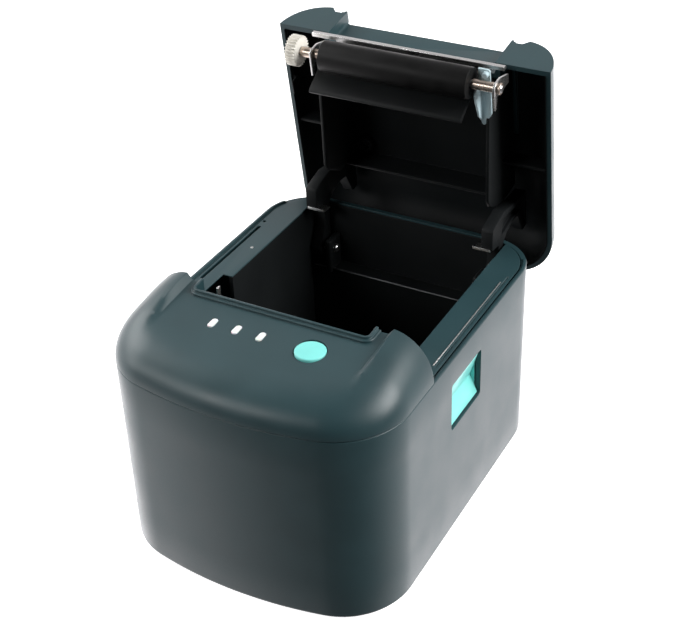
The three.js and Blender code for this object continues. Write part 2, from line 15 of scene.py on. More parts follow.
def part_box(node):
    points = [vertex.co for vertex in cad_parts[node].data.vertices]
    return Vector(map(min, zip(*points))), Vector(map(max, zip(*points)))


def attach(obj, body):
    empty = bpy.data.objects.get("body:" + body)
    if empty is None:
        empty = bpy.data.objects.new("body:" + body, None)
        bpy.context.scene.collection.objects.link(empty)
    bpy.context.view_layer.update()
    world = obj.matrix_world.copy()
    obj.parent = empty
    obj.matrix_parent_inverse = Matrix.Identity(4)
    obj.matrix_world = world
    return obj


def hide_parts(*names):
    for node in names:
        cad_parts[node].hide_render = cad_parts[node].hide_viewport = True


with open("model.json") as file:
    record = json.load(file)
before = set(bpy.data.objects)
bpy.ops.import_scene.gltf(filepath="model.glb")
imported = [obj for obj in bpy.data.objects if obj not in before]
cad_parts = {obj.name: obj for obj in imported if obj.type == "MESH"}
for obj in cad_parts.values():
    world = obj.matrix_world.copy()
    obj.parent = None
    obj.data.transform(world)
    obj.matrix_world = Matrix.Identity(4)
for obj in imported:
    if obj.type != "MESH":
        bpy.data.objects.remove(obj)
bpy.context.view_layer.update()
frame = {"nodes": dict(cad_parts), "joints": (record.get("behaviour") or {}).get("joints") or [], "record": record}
MM = 0.001

# ---- Sizes taken from the frame ----
HOUSING_LO, HOUSING_HI = (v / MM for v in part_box("lower_housing"))
FOOT = HOUSING_LO.z  # how far the feet stand proud
HALF_W = HOUSING_HI.x
HALF_D = HOUSING_HI.y
RIM_Z = HOUSING_HI.z - FOOT
LID_JOINT = next(j for j in frame["joints"] if j["name"] == "lid_hinge")
HINGE_Y = LID_JOINT["pos_m"][1] / MM
HINGE_Z = LID_JOINT["pos_m"][2] / MM - FOOT
OPEN_ANGLE = math.radians(LID_JOINT["range_deg"][1])

# ---- Shared design sizes ----
BOW_R = 202.6  # bowed front wall
FRONT_R = 34.0  # plan radius of the front corners
REAR_R = 25.4  # plan radius of the rear corners
WALL = 2.5
DOME_IN = 20.0  # the shoulder's reach inwards
DOME_UP = 22.5  # and its rise above the rim
COVER_END = -31.2  # rear end of the front cover's shoulders
LIP_Y = -38.5  # front edge of the paper outlet
LIP_HALF = 43.0  # half width of the outlet
LIP_R = 2.0  # plan radius of the outlet's corners
RECESS_X = (48.6, 54.0)  # foot and head of the recess's side walls
RECESS_WALL = 8.0  # how far those walls rise
RECESS_BLEND = 1.6  # how softly they meet the dome
LID_FRONT = -30.6  # front ends of the lid's ears
LID_SET_BACK = -24.5  # front edge between them
LID_RIM = RIM_Z + 0.9
BUTTON_AT, BUTTON_R = (24.0, -53.8), 6.9
BUTTON_BASE, BUTTON_EDGE, BUTTON_TOP = 109.5, 115.9, 116.7
LED_X, LED_Y = (-24.0, -12.0, 0.0), -53.8
LED_R, LED_HALF = 1.5, 1.6  # oval lenses, longer from front to back
LED_BASE, LED_TOP = 109.0, 116.35
FOOT_TOP = 1.2
MOUTH_EDGE = 1.4  # rim round each socket's mouth
REAR_SOCKETS = ("power_socket", "usb_socket", "network_socket", "drawer_socket")
WINDOW_Y, WINDOW_Z = (-12.8, 18.7), (60.0, 85.0)
WELL_IN, WELL_OUT, WELL_END = 52.2, 54.2, 88.3
GEAR_NOTCH = ((-57.4, -51.0), (-40.0, 4.6))  # lets the platen gear into the left edge
BUSH_NOTCH = ((51.0, 54.6), (-40.0, -18.0))  # and the bush into the right one
LEDGE_TOP = 98.2
LID_SCREW = (36.0, 40.0)
NECK_X = (45.1, 51.2)  # hinge arms
PLATEN_AT = (-28.8, 83.0)
ROLLER_R, SHAFT_R, BUSH_R = 7.4, 1.9, 2.35
ROLLER_X, SHAFT_X, PLATEN_GEAR_X = (-36.8, 38.8), (-54.4, 53.8), (-54.2, -49.0)
PLATEN_BORE = SHAFT_R + 0.2
LEVER_X = (40.3, 46.1)
GUIDE_X = (-42.3, 36.5)
TEAR_BAR_HALF = 49.5
MODULE = 0.5  # gear module
PLATEN_TEETH, IDLER_TEETH, PINION_TEETH = 28, 46, 23
SIDES = (("left", -1), ("right", 1))


def to_world(p):
    return Vector((p[0] * MM, p[1] * MM, (p[2] + FOOT) * MM))


LID_TURN = (
    Matrix.Translation(to_world((0, HINGE_Y, HINGE_Z)))
    @ Matrix.Rotation(-OPEN_ANGLE, 4, "X")
    @ Matrix.Translation(-to_world((0, HINGE_Y, HINGE_Z)))
)


def lid_to_world(p):
    return LID_TURN @ to_world(p)


def node_box(node):
    """A CAD node's lowest and highest corners in this script's own layout."""
    lo, hi = (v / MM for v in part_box(node))
    foot = Vector((0, 0, FOOT))
    return lo - foot, hi - foot


def node_centre(node):
    lo, hi = node_box(node)
    return (lo + hi) / 2


def span(side, a, b):
    """The stretch from a to b, mirrored on the left side."""
    return (-b, -a) if side < 0 else (a, b)


# ---- Camera, light and floor ----
def aim_camera():
    azimuth, elevation, roll = (math.radians(a) for a in (29.66, 33.96, -2.27))
    distance, target = 669.5, (-5.42, 23.84, 78.18)
    back = Vector((
        math.sin(azimuth) * math.cos(elevation),
        -math.cos(azimuth) * math.cos(elevation),
        math.sin(elevation),
    ))
    level = (-back).cross(Vector((0, 0, 1))).normalized()
    upright = level.cross(-back)
    right = math.cos(roll) * level + math.sin(roll) * upright
    up = math.cos(roll) * upright - math.sin(roll) * level
    data = bpy.data.cameras.new("photo_camera")
    data.sensor_width = 36.0
    data.lens = 74.16
    camera = bpy.data.objects.new("photo_camera", data)
    pose = Matrix((right, up, back)).transposed().to_4x4()
    pose.translation = to_world(target) + back * distance * MM
    camera.matrix_world = pose
    bpy.context.scene.collection.objects.link(camera)
    bpy.context.scene.camera = camera


# The softboxes, in metres and watts: name, place, size, power.
SOFTBOXES = (
    ("left_softbox", (-1.1, 0.1, 0.75), (0.6, 0.6), 9),
    ("front_left_softbox", (-1.15, -0.5, 0.55), (0.5, 0.5), 4),
    ("front_softbox", (-0.62, -1.1, 0.8), (0.5, 0.4), 6),
    ("rear_right_softbox", (1.15, 0.27, 0.9), (0.7, 0.8), 26),
)
LIGHT_AIM = (0, 0, 0.09)  # all of them face the middle of the printer
# The set's glow: (direction from the printer, strength), brightest behind it and low down.
GLOWS = (
    ((0.31, 0.72, -0.62), 1.3),
    ((-0.41, 0.72, -0.56), 2.2),
    ((-0.83, 0.0, -0.56), 1.65),
    ((-0.2, 0.75, 0.62), 0.62),
    ((-0.41, -0.72, -0.56), 0.1),
    ((0.7, -0.4, -0.56), 0.15),
)
GLOW_EDGE = (0.45, 0.95)  # cosines of the angles where a glow begins and where it is full
GLOW_COLOUR = (1.0, 0.97, 0.985, 1)


def softbox(name, place, size, power):
    data = bpy.data.lights.new(name, "AREA")
    data.shape = "RECTANGLE"
    data.size, data.size_y = size
    data.energy = power
    light = bpy.data.objects.new(name, data)
    light.location = place
    light.rotation_euler = (Vector(LIGHT_AIM) - Vector(place)).to_track_quat("-Z", "Y").to_euler()
    bpy.context.scene.collection.objects.link(light)


def light_studio():
    for name, place, size, power in SOFTBOXES:
        softbox(name, place, size, power)
    world = bpy.data.worlds.new("studio")
    bpy.context.scene.world = world
    world.use_nodes = True
    nodes, links = world.node_tree.nodes, world.node_tree.links
    where = nodes.new("ShaderNodeTexCoord").outputs["Generated"]
    total = None
    for direction, strength in GLOWS:
        facing = nodes.new("ShaderNodeVectorMath")
        facing.operation = "DOT_PRODUCT"
        facing.inputs[1].default_value = Vector(direction).normalized()
        links.new(where, facing.inputs[0])
        lobe = nodes.new("ShaderNodeMapRange")
        lobe.interpolation_type = "SMOOTHSTEP"
        lobe.inputs["From Min"].default_value, lobe.inputs["From Max"].default_value = GLOW_EDGE
        lobe.inputs["To Min"].default_value = 0.0
        lobe.inputs["To Max"].default_value = strength
        links.new(facing.outputs["Value"], lobe.inputs["Value"])
        if total is None:
            total = lobe.outputs["Result"]
            continue
        both = nodes.new("ShaderNodeMath")
        both.operation = "ADD"
        links.new(total, both.inputs[0])
        links.new(lobe.outputs["Result"], both.inputs[1])
        total = both.outputs["Value"]
    links.new(total, nodes["Background"].inputs["Strength"])
    nodes["Background"].inputs["Color"].default_value = GLOW_COLOUR
    bpy.context.scene.view_settings.view_transform = "Standard"


def lay_floor():
    """A white table. The printer isn't lit by it: the studio's own glow stands for its bounce."""
    mesh = bpy.data.meshes.new("floor")
    reach = 6.0
    mesh.from_pydata(
        [(-reach, -reach, 0), (reach, -reach, 0), (reach, reach, 0), (-reach, reach, 0)],
        [], [(0, 1, 2, 3)])
    floor = bpy.data.objects.new("floor", mesh)
    bpy.context.scene.collection.objects.link(floor)
    material = bpy.data.materials.new("floor_white")
    material.use_nodes = True
    shader = material.node_tree.nodes["Principled BSDF"]
    shader.inputs["Base Color"].default_value = (0.9, 0.9, 0.9, 1)
    shader.inputs["Roughness"].default_value = 0.9
    shader.inputs["Specular IOR Level"].default_value = 0.0
    shader.inputs["Emission Color"].default_value = (1, 1, 1, 1)
    shader.inputs["Emission Strength"].default_value = 0.85
    mesh.materials.append(material)
    floor.visible_diffuse = False
    floor.visible_glossy = False


# ---- Materials ----
class Recipe:
    """A Principled material whose nodes are added one at a time."""

    def __init__(self, name):
        self.material = bpy.data.materials.new(name)
        self.material.use_nodes = True
        self.tree = self.material.node_tree
        self.shader = self.tree.nodes["Principled BSDF"]
        self.where = self.add("ShaderNodeTexCoord").outputs["Object"]

    def add(self, kind, **values):
        node = self.tree.nodes.new(kind)
        for key, value in values.items():
            setattr(node, key, value)
        return node

    def link(self, source, target):
        self.tree.links.new(source, target)

    def noise(self, scale, detail=2.0, stretch=(1, 1, 1)):
        mapping = self.add("ShaderNodeMapping")
        mapping.inputs["Scale"].default_value = stretch
        self.link(self.where, mapping.inputs["Vector"])
        node = self.add("ShaderNodeTexNoise")
        node.inputs["Scale"].default_value = scale
        node.inputs["Detail"].default_value = detail
        self.link(mapping.outputs["Vector"], node.inputs["Vector"])
        return node.outputs["Fac"]

    def spread(self, source, low, high, source_low=0.3, source_high=0.7):
        node = self.add("ShaderNodeMapRange")
        node.inputs["From Min"].default_value = source_low
        node.inputs["From Max"].default_value = source_high
        node.inputs["To Min"].default_value = low
        node.inputs["To Max"].default_value = high
        self.link(source, node.inputs["Value"])
        return node.outputs["Result"]

    def mix(self, factor, first, second):
        node = self.add("ShaderNodeMix", data_type="RGBA")
        for socket, value in ((node.inputs["A"], first), (node.inputs["B"], second)):
            if isinstance(value, tuple):
                socket.default_value = (*value, 1)
            else:
                self.link(value, socket)
        self.link(factor, node.inputs["Factor"])
        return node.outputs["Result"]

    def soft_edges(self, radius):
        """A normal that rolls over sharp edges, as moulded or deburred edges do."""
        bevel = self.add("ShaderNodeBevel", samples=4)
        bevel.inputs["Radius"].default_value = radius
        return bevel.outputs["Normal"]

    def edge_mask(self, rounded):
        """0 on faces and towards 1 on edges, from how far the rounded normal leans."""
        geometry = self.add("ShaderNodeNewGeometry")
        dot = self.add("ShaderNodeVectorMath", operation="DOT_PRODUCT")
        self.link(rounded, dot.inputs[0])
        self.link(geometry.outputs["True Normal"], dot.inputs[1])
        return self.spread(dot.outputs["Value"], 1.0, 0.0, 0.75, 0.995)

    def bump(self, height, strength, distance, normal=None):
        node = self.add("ShaderNodeBump")
        node.inputs["Strength"].default_value = strength
        node.inputs["Distance"].default_value = distance
        self.link(height, node.inputs["Height"])
        if normal is not None:
            self.link(normal, node.inputs["Normal"])
        self.link(node.outputs["Normal"], self.shader.inputs["Normal"])


def tint(colour, factor):
    return tuple(min(1.0, c * factor) for c in colour)


def plastic(name, colour, roughness, grain=0.25, edge_highlight=1.5, sheen=0.5):
    """Spark-eroded moulded plastic: fine grain, cloudy gloss, and edges painted lighter as a painted highlight."""
    r = Recipe(name)
    cloud = r.noise(55, 3)
    speck = r.noise(2600, 2)
    base = r.mix(r.spread(cloud, 0, 1), tint(colour, 0.93), tint(colour, 1.07))
    rounded = r.soft_edges(0.4 * MM)
    # Painted highlight: the base colour is lightened along edges, as where they catch the light.
    highlit_edges = r.mix(r.edge_mask(rounded), base, tint(colour, edge_highlight))
    r.link(highlit_edges, r.shader.inputs["Base Color"])
    gloss = r.add("ShaderNodeMath", operation="ADD")
    r.link(r.spread(cloud, roughness - 0.03, roughness + 0.03), gloss.inputs[0])
    r.link(r.spread(speck, -0.04, 0.04), gloss.inputs[1])
    r.link(gloss.outputs["Value"], r.shader.inputs["Roughness"])
    r.shader.inputs["Specular IOR Level"].default_value = sheen
    r.bump(speck, grain, 0.00006, rounded)
    return r.material


def metal(name, colour, roughness, stretch=(1, 40, 40)):
    """Brushed or ground metal; `stretch` squeezes the noise across the brushing direction."""
    r = Recipe(name)
    brush = r.noise(90, 4, stretch)
    stain = r.noise(30, 3)
    base = r.mix(r.spread(stain, 0, 1), tint(colour, 0.85), tint(colour, 1.08))
    rounded = r.soft_edges(0.25 * MM)
    # Painted highlight: the base colour is lightened along edges, as where they catch the light.
    highlit_edges = r.mix(r.edge_mask(rounded), base, tint(colour, 1.3))
    r.link(highlit_edges, r.shader.inputs["Base Color"])
    r.shader.inputs["Metallic"].default_value = 1.0
    r.link(r.spread(brush, roughness - 0.1, roughness + 0.12), r.shader.inputs["Roughness"])
    r.bump(brush, 0.25, 0.00004, rounded)
    return r.material


def rubber(name, colour, roughness):
    """Ground rubber: fine turning marks and a dusty, uneven sheen."""
    r = Recipe(name)
    ground = r.noise(700, 3, (1, 0.2, 0.2))
    dust = r.noise(120, 4)
    base = r.mix(r.spread(dust, 0, 1), colour, tint(colour, 1.6))
    r.link(base, r.shader.inputs["Base Color"])
    r.link(r.spread(dust, roughness - 0.08, roughness + 0.08), r.shader.inputs["Roughness"])
    r.shader.inputs["Specular IOR Level"].default_value = 0.15
    r.bump(ground, 0.3, 0.00005, r.soft_edges(0.3 * MM))
    return r.material


def board(name, colour):
    """Solder mask over copper: tracks show through as lighter bands."""
    r = Recipe(name)
    tracks = r.add("ShaderNodeTexBrick")
    tracks.inputs["Scale"].default_value = 260
    tracks.inputs["Mortar Size"].default_value = 0.035
    r.link(r.where, tracks.inputs["Vector"])
    base = r.mix(tracks.outputs["Fac"], colour, tint(colour, 1.7))
    r.link(base, r.shader.inputs["Base Color"])
    r.link(r.spread(r.noise(200), 0.25, 0.45), r.shader.inputs["Roughness"])
    r.bump(tracks.outputs["Fac"], 0.2, 0.00005)
    return r.material


def lens(name, colour):
    """Milky light-guide plastic."""
    r = Recipe(name)
    cloud = r.noise(900, 2)
    base = r.mix(r.spread(cloud, 0, 1), tint(colour, 0.94), colour)
    r.link(base, r.shader.inputs["Base Color"])
    r.link(r.spread(cloud, 0.2, 0.35), r.shader.inputs["Roughness"])
    r.shader.inputs["Subsurface Weight"].default_value = 0.2
    r.shader.inputs["Subsurface Scale"].default_value = 0.002
    r.bump(cloud, 0.1, 0.00005, r.soft_edges(0.4 * MM))
    return r.material


# The edge factor given to each plastic sets how much lighter its edges are painted: a painted highlight.
MATERIALS = {
    "case_plastic": plastic("case_plastic", (0.0200, 0.0510, 0.0585), 0.42, grain=0.22, edge_highlight=1.4),
    "inner_plastic": plastic("inner_plastic", (0.0060, 0.0074, 0.0080), 0.6, grain=0.3, edge_highlight=1.7,
                             sheen=0.2),
    "mint_plastic": plastic("mint_plastic", (0.22, 0.74, 0.69), 0.36, grain=0.1, edge_highlight=1.05),
    "foot_rubber": rubber("foot_rubber", (0.01, 0.01, 0.01), 0.8),
    "roller_rubber": rubber("roller_rubber", (0.0045, 0.0045, 0.0045), 0.5),
    "dark_steel": metal("dark_steel", (0.12, 0.125, 0.13), 0.42),
    "bright_steel": metal("bright_steel", (0.72, 0.72, 0.71), 0.3),
    "bronze": metal("bronze", (0.62, 0.52, 0.44), 0.34, stretch=(30, 1, 1)),
    "white_plastic": plastic("white_plastic", (0.80, 0.77, 0.70), 0.42, grain=0.12, edge_highlight=1.1),
    "pale_plastic": plastic("pale_plastic", (0.50, 0.64, 0.68), 0.4, grain=0.1, edge_highlight=1.2),
    "led_plastic": lens("led_plastic", (0.86, 0.88, 0.87)),
    "circuit_board": board("circuit_board", (0.01, 0.07, 0.03)),
    "head_ceramic": plastic("head_ceramic", (0.62, 0.55, 0.44), 0.2, grain=0.05, edge_highlight=1.1),
}
SLOT_OF = {s["node"]: s["material_slot"] for s in frame["record"]["subparts"]}


# ---- Mesh building ----
SHARP_ANGLE = 32  # degrees; a steeper edge between faces stays sharp


def build(name, points, faces, place=to_world):
    """A mesh object from points in millimetres, with its faces turned outwards."""
    mesh = bpy.data.meshes.new(name)
    mesh.from_pydata([place(p) for p in points], [], faces)
    work = bmesh.new()
    work.from_mesh(mesh)
    bmesh.ops.remove_doubles(work, verts=work.verts, dist=1e-7)
    bmesh.ops.recalc_face_normals(work, faces=work.faces)
    return to_piece(name, mesh, work)


def to_piece(name, mesh, work, smooth=SHARP_ANGLE):
    """An object in the scene whose mesh is filled from a bmesh, which is used up."""
    work.to_mesh(mesh)
    work.free()
    piece = bpy.data.objects.new(name, mesh)
    bpy.context.scene.collection.objects.link(piece)
    shade(piece, smooth)
    return piece


def shade(piece, angle):
    piece.data.shade_smooth()
    piece.data.set_sharp_from_angle(angle=math.radians(angle))


def arc(u, v, r, start, stop, steps):
    """Points of a circle's arc, angles in degrees."""
    turns = [math.radians(start + (stop - start) * i / steps) for i in range(steps + 1)]
    return [(u + r * math.cos(a), v + r * math.sin(a)) for a in turns]


def tube(name, rings, place=to_world, closed=True):
    """Joins rings of equal length; the last one joins the first if `closed`, else both are capped."""
    count = len(rings[0])
    points = [p for ring in rings for p in ring]
    faces = []
    for j in range(len(rings) if closed else len(rings) - 1):
        a, b = j * count, ((j + 1) % len(rings)) * count
        faces += [(a + i, a + (i + 1) % count, b + (i + 1) % count, b + i) for i in range(count)]
    if not closed:
        faces += [tuple(range(count))[::-1], tuple(range(len(points) - count, len(points)))]
    return build(name, points, faces, place)


def block(name, x, y, z, radius=0.4, place=to_world, steps=3):
    """A box with rounded edges."""
    work = bmesh.new()
    bmesh.ops.create_cube(work, size=1)
    for v in work.verts:
        v.co = Vector((
            (x[0] + x[1]) / 2 + v.co.x * (x[1] - x[0]),
            (y[0] + y[1]) / 2 + v.co.y * (y[1] - y[0]),
            (z[0] + z[1]) / 2 + v.co.z * (z[1] - z[0]),
        ))
    if radius:
        bmesh.ops.bevel(work, geom=list(work.edges), offset=radius, segments=steps,
                        profile=0.5, affect="EDGES", clamp_overlap=True)
    for v in work.verts:
        v.co = place(v.co)
    return to_piece(name, bpy.data.meshes.new(name), work)


AXES = {
    "x": lambda u, v, w: (w, u, v),
    "y": lambda u, v, w: (u, w, v),
    "z": lambda u, v, w: (u, v, w),
}


def turned(name, axis, at, profile, sides=64, place=to_world):
    """A solid of revolution about an axis; profile points are (radius, distance along it).

    A profile that starts on the axis gives a full bar with flat ends, any other one a ring.
    """
    full = profile[0][0] == 0
    if full:
        profile = profile[1:-1]
    rings = []
    for r, w in profile:
        rings.append([AXES[axis](at[0] + u, at[1] + v, w) for u, v in arc(0, 0, r, 0, 360, sides)[:-1]])
    return tube(name, rings, place, closed=not full)


def rod(name, axis, r, stretch, at, chamfer=0.3, sides=48, bore=0.0, place=to_world):
    """A round bar with chamfered ends and, where asked, a bore."""
    a, b = stretch
    profile = [(bore, a), (r - chamfer, a), (r, a + chamfer), (r, b - chamfer), (r - chamfer, b),
               (bore, b)]
    return turned(name, axis, at, profile, sides, place)


def plate(name, axis, outline, stretch, radius=0.2, place=to_world, steps=2, smooth=SHARP_ANGLE):
    """A flat outline extruded along an axis over a stretch, with rounded rims."""
    work = bmesh.new()
    low = [work.verts.new(AXES[axis](u, v, stretch[0])) for u, v in outline]
    face = work.faces.new(low)
    made = bmesh.ops.extrude_face_region(work, geom=[face])
    shift = Vector(AXES[axis](0, 0, stretch[1] - stretch[0]))
    for v in (g for g in made["geom"] if isinstance(g, bmesh.types.BMVert)):
        v.co += shift
    bmesh.ops.recalc_face_normals(work, faces=work.faces)
    if radius:
        along = shift.normalized()
        rims = [e for e in work.edges
                if abs((e.verts[0].co - e.verts[1].co).normalized().dot(along)) < 0.5]
        bmesh.ops.bevel(work, geom=rims, offset=radius, segments=steps, profile=0.5,
                        affect="EDGES", clamp_overlap=True)
    for v in work.verts:
        v.co = place(v.co)
    bmesh.ops.recalc_face_normals(work, faces=work.faces)
    return to_piece(name, bpy.data.meshes.new(name), work, smooth)


def carve(piece, tools, operation="DIFFERENCE", smooth=SHARP_ANGLE):
    """Cuts, joins or intersects a piece with closed tools, which are used up."""
    for tool in tools:
        step = piece.modifiers.new("carve", "BOOLEAN")
        step.operation = operation
        step.solver = "MANIFOLD"
        step.object = tool
    evaluated = piece.evaluated_get(bpy.context.evaluated_depsgraph_get())
    mesh = bpy.data.meshes.new_from_object(evaluated)
    piece.modifiers.clear()
    piece.data = mesh
    for tool in tools:
        bpy.data.objects.remove(tool)
    shade(piece, smooth)
    return piece


def merge(piece, tools):
    return carve(piece, tools, "UNION")


def finish_piece(piece, body, node):
    """A piece that stands for a CAD node and takes its material."""
    finish_detail(piece, body, SLOT_OF[node])
    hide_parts(node)


def finish_detail(piece, body, slot):
    """A piece that rides on a body in a slot's material."""
    piece.data.materials.clear()
    piece.data.materials.append(MATERIALS[slot])
    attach(piece, body)


# ---- Plan outline and domes ----
def smoothstep(x, low, high):
    t = min(1.0, max(0.0, (x - low) / (high - low)))
    return t * t * (3 - 2 * t)


def front_half(inset, end_y, flank=10, corner=26, bow=16):
    """Right half of the front plan, from the flank's end to the bow's middle."""
    bow_y = -HALF_D + BOW_R
    corner_x = HALF_W - FRONT_R
    corner_y = bow_y - math.sqrt((BOW_R - FRONT_R) ** 2 - corner_x ** 2)
    meet = math.degrees(math.atan2(corner_y - bow_y, corner_x))
    x = HALF_W - inset
    side = [(x, end_y + (corner_y - end_y) * i / flank) for i in range(flank)]
    turn = arc(corner_x, corner_y, FRONT_R - inset, 0, meet, corner)
    front = arc(0, bow_y, BOW_R - inset, meet, -90, bow)[1:]
    return side + turn + front


def rear_half(inset, end_y, flank=12, corner=26, back=10):
    """Right half of the rear plan, from the flank's end to the rear wall's middle."""
    x = HALF_W - inset
    y = HALF_D - REAR_R
    side = [(x, end_y + (y - end_y) * i / flank) for i in range(flank)]
    turn = arc(HALF_W - REAR_R, y, REAR_R - inset, 0, 90, corner)
    middle = turn[-1]
    return side + turn + [(middle[0] * (1 - i / back), middle[1]) for i in range(1, back + 1)]


def whole_plan(inset):
    """The closed outline, anticlockwise seen from above, starting at the right flank's middle."""
    rear = rear_half(inset, 0)
    front = front_half(inset, 0)
    left_rear = [(-x, y) for x, y in reversed(rear[1:-1])]
    left_front = [(-x, y) for x, y in front]
    right_front = list(reversed(front[1:-1]))
    return rear + left_rear + left_front + right_front


# How far in each ring of a shoulder lies, from its foot to its head: closest where it is steepest.
DOME_STEPS = (0, 0.004, 0.018, 0.045, 0.085, 0.135, 0.2, 0.28, 0.37, 0.47, 0.58, 0.7, 0.82, 0.92, 1)


def dome(name, half_plan, end_y, inset, height, skirt_z, columns=64, place=to_world, tuck=0.0):
    """A closed dome over half the plan.

    `height(x, y, rise)` gives z, where rise goes 0 to 1 up the shoulder; rows between the flanks
    close the crown. `tuck` draws the skirt's lower edge inwards.
    """
    half_rings = []
    for step in DOME_STEPS:
        reach = inset + step * (DOME_IN - inset)
        rise = math.sqrt(max(0.0, 1 - (1 - step) ** 2))
        half_rings.append([(x, y, rise) for x, y in half_plan(reach, end_y)])
    count = len(half_rings[0]) - 1  # the middle point is left out, so flanks pair up
    points, faces, rings = [], [], []

    def add(x, y, z):
        points.append((x, y, z))
        return len(points) - 1

    skirt = half_plan(inset + tuck, end_y)
    right = [add(x, y, skirt_z) for x, y in skirt[:count]]
    left = [add(-x, y, skirt_z) for x, y in skirt[:count]]
    rings.append((right, left))
    for ring in half_rings:
        right = [add(x, y, height(x, y, rise)) for x, y, rise in ring[:count]]
        left = [add(-x, y, height(x, y, rise)) for x, y, rise in ring[:count]]
        rings.append((right, left))
    for (r0, l0), (r1, l1) in zip(rings, rings[1:]):
        for i in range(count - 1):
            faces.append((r0[i + 1], r0[i], r1[i], r1[i + 1]))
            faces.append((l0[i], l0[i + 1], l1[i + 1], l1[i]))
        faces.append((l0[-1], r0[-1], r1[-1], l1[-1]))
    top_right, top_left = rings[-1]
    rows = []
    for i in range(count):
        x, y, _ = half_rings[-1][i]
        inner = [add(x - 2 * x * k / columns, y, height(x - 2 * x * k / columns, y, 1.0))
                 for k in range(1, columns)] if i < count - 1 else []
        rows.append([top_right[i], *inner, top_left[i]])
    for above, below in zip(rows[:-2], rows[1:-1]):
        faces += [(above[k], above[k + 1], below[k + 1], below[k]) for k in range(columns)]
    faces.append((*rows[-2], rows[-1][1], rows[-1][0]))
    faces.append((*rings[0][0], *reversed(rings[0][1])))
    end = [r[0] for r, _ in rings] + rows[0][1:-1] + [l[0] for _, l in reversed(rings)]
    faces.append(tuple(end))
    return build(name, points, faces, place)


def crown(y):
    """The front cover falls gently from its shoulders to the front."""
    return DOME_UP - 8 * smoothstep(-y, 30, 82)


def shoulder(rise, top, inset):
    return RIM_Z + rise * (top - inset)


def soft_min(a, b, blend):
    """The lower of two heights with a rounded change-over."""
    h = max(0.0, 1 - abs(a - b) / blend)
    return min(a, b) - h * h * blend / 4


# ---- Housing ----
def make_lower_housing():
    """The outer shell, open above and below, with a window and the rear wall's holes."""
    # Once round the wall's section as (inset, z), outside first
    profile = [(2.0, 0.0), (1.2, 0.15), (0.6, 0.6), (0.15, 1.2), (0.0, 2.0)]
    profile += [(0.0, z) for z in (20, 40, 60, 80)]
    profile += [(0.0, RIM_Z - 0.6), (0.08, RIM_Z - 0.3), (0.3, RIM_Z - 0.08), (0.6, RIM_Z)]
    profile += [(1.5, RIM_Z), (1.6, RIM_Z - 0.1), (1.65, RIM_Z - 0.9)]
    profile += [(WALL, RIM_Z - 0.9), (WALL, 50), (WALL, 0.0)]
    rings = []
    for inset, z in profile:
        ring = []
        for x, y in whole_plan(inset):
            top = RIM_Z - 1.0 * smoothstep(y, 77.5, 78.5)
            ring.append((x, y, min(z, top)))
        rings.append(ring)
    shell = tube("housing_shell", rings)
    tools = [block("window_cut", (62, 75), WINDOW_Y, WINDOW_Z, 1.6, steps=4)]
    tools += [rear_hole(node) for node in (*REAR_SOCKETS, "switch_frame")]
    carve(shell, tools)
    finish_piece(shell, "housing", "lower_housing")


def rear_hole(node, ease=0.4):
    """The cut through the rear wall that a socket or the switch sits in."""
    lo, hi = node_box(node)
    return block("port_cut", (lo.x - ease, hi.x + ease), (84, 96), (lo.z - ease, hi.z + ease), 0.5)


def cover_floor(y):
    """Height of the front cover's recess, which climbs a little towards the outlet."""
    return 118 + 0.087 * (y - COVER_END)


def recess_wall(x):
    """How far the recess's side wall has risen at x."""
    return RECESS_WALL * smoothstep(abs(x), *RECESS_X)


def cover_top(x, y, rise):
    """The front cover's top: a dome with a shallow recess that has soft sides."""
    z = shoulder(rise, crown(y), 0)
    return max(RIM_Z + 0.4, soft_min(z, cover_floor(y) + recess_wall(x), RECESS_BLEND))


def make_front_cover():
    skin = dome("cover_skin", front_half, COVER_END, 0, cover_top, RIM_Z + 0.02, columns=96, tuck=0.6)
    inner = dome("cover_hollow", front_half, COVER_END - WALL, WALL,
                 lambda x, y, rise: min(shoulder(rise, crown(y), WALL), cover_floor(y) - 2.2),
                 RIM_Z - 4)
    outlet = [(-LIP_HALF, 0), (-LIP_HALF, LIP_Y + LIP_R)]
    outlet += arc(-LIP_HALF + LIP_R, LIP_Y + LIP_R, LIP_R, 180, 270, 8)[1:]
    outlet += arc(LIP_HALF - LIP_R, LIP_Y + LIP_R, LIP_R, 270, 360, 8) + [(LIP_HALF, 0)]
    well = [(-LIP_HALF - WALL, 0), (-LIP_HALF - WALL, LIP_Y - WALL), (LIP_HALF + WALL, LIP_Y - WALL),
            (LIP_HALF + WALL, 0)]
    carve(inner, [plate("outlet_wall", "z", well, (90, 117.2), 0)])
    tools = [
        inner,
        plate("outlet", "z", outlet, (80, 140), 0),
        block("gear_passage", (-56.5, -47.6), (COVER_END - 4, 2), (90, 116), 0.6),
        rod("button_hole", "z", BUTTON_R + 0.45, (105, 130), BUTTON_AT, 0.01, 64),
    ]
    for x in LED_X:
        tools.append(plate("led_hole", "z", lens_outline(x, LED_R + 0.2), (105, 130), 0))
    carve(skin, tools)
    merge(skin, [raised_lip("cover_lip", COVER_END)])
    finish_piece(skin, "housing", "front_cover")


def lip_section(base, width=2.5, height=2.2):
    """Section of the raised lip, an upright fin with a lower step outside it.

    Its points are (offset outwards, height).
    """
    step = base + 0.45 * height
    fin = 0.5 * width
    return [(width, base - 1.2), (width, step - 0.3), (width - 0.3, step), (fin + 0.15, step),
            (fin, step + 0.15), (fin, base + height - 0.3), (fin - 0.12, base + height - 0.08),
            (fin - 0.35, base + height), (0.3, base + height), (0.08, base + height - 0.08),
            (0, base + height - 0.3), (0, base - 1.2)]


